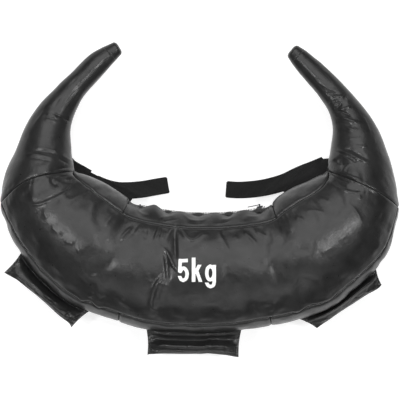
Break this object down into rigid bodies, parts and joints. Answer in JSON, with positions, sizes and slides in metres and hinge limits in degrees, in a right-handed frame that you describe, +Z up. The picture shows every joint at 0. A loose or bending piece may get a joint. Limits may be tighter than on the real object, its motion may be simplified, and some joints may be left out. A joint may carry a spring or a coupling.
{
  "type": "bulgarian bag",
  "caption": "Crescent-shaped weighted training bag with tapered horns, sewn grips along its outer edge, two webbing straps and a zip on the inner edge.",
  "frame": {"origin": "on the floor, under the middle of the bounding box, with the bag lying on its back", "axes": "+Z up through the front panel, +Y towards the horn tips, +X along the bag from the left horn to the right one"},
  "size_m": [0.5964, 0.4703, 0.1367],
  "materials": {
    "leatherette": "black PVC leatherette, satin to glossy, fine grain",
    "zip_tape": "black woven polyester tape",
    "zip_teeth": "black nylon coil teeth",
    "zip_metal": "black lacquered zinc",
    "webbing": "black nylon webbing, matte, fine cross ribs",
    "foam": "closed-cell foam rod",
    "wadding": "off-white polyester wadding",
    "sand_pouch": "sand sewn into cotton cloth"
  },
  "bodies": {
    "bag": {"front_panel": "leatherette", "back_panel": "leatherette", "inner_gusset_left": "leatherette", "inner_gusset_right": "leatherette", "inner_gusset_middle_front": "leatherette", "inner_gusset_middle_back": "leatherette", "outer_gusset_left": "leatherette", "outer_gusset_middle": "leatherette", "outer_gusset_right": "leatherette", "left_horn_sleeve": "leatherette", "right_horn_sleeve": "leatherette", "left_horn_cap": "leatherette", "right_horn_cap": "leatherette", "zip_tape_front": "zip_tape", "zip_tape_back": "zip_tape", "zip_teeth": "zip_teeth", "zip_stop_left": "zip_metal", "zip_stop_right": "zip_metal", "left_strap_root": "webbing", "right_strap_root": "webbing", "wadding_sleeve": "wadding", "left_horn_wad": "wadding", "right_horn_wad": "wadding", "left_sand_pouch": "sand_pouch", "middle_sand_pouch": "sand_pouch", "right_sand_pouch": "sand_pouch"},
    "left_grip": {"left_grip_cover": "leatherette", "left_grip_core": "foam"},
    "middle_grip": {"middle_grip_cover": "leatherette", "middle_grip_core": "foam"},
    "right_grip": {"right_grip_cover": "leatherette", "right_grip_core": "foam"},
    "left_strap": {"left_strap_tail": "webbing"},
    "right_strap": {"right_strap_tail": "webbing"},
    "zip_slider": {"zip_slider": "zip_metal"},
    "zip_pull": {"zip_pull": "zip_metal"}
  },
  "joints": [
    {"name": "left_grip_fold", "type": "hinge", "parent": "bag", "child": "left_grip", "pos_m": [-0.22586, -0.13418, 0.06462], "axis": [-0.742, 0.6704, 0], "range_deg": [-50, 50], "stiffness_Nm_per_rad": 0.8},
    {"name": "middle_grip_fold", "type": "hinge", "parent": "bag", "child": "middle_grip", "pos_m": [-0.00896, -0.20301, 0.06479], "axis": [-1, 0.0079, 0], "range_deg": [-50, 50], "stiffness_Nm_per_rad": 0.8},
    {"name": "right_grip_fold", "type": "hinge", "parent": "bag", "child": "right_grip", "pos_m": [0.21446, -0.15286, 0.06493], "axis": [-0.7839, -0.6209, 0], "range_deg": [-50, 50], "stiffness_Nm_per_rad": 0.8},
    {"name": "left_strap_fold", "type": "hinge", "parent": "bag", "child": "left_strap", "pos_m": [-0.1308, 0.0204, 0.021], "axis": [0.8358, -0.549, 0], "range_deg": [-32, 36]},
    {"name": "right_strap_fold", "type": "hinge", "parent": "bag", "child": "right_strap", "pos_m": [0.1536, 0.036, 0.021], "axis": [0.7478, 0.6639, 0], "range_deg": [-32, 36]},
    {"name": "zip_slider_travel", "type": "hinge", "parent": "bag", "child": "zip_slider", "pos_m": [0.0111, 0.3984, 0.0648], "axis": [0, 0, 1], "range_deg": [-23.8, 0]},
    {"name": "zip_pull_swing", "type": "hinge", "parent": "zip_slider", "child": "zip_pull", "pos_m": [0.08978, -0.00846, 0.0648], "axis": [0, 0, 1], "range_deg": [-100, 0]}
  ]
}
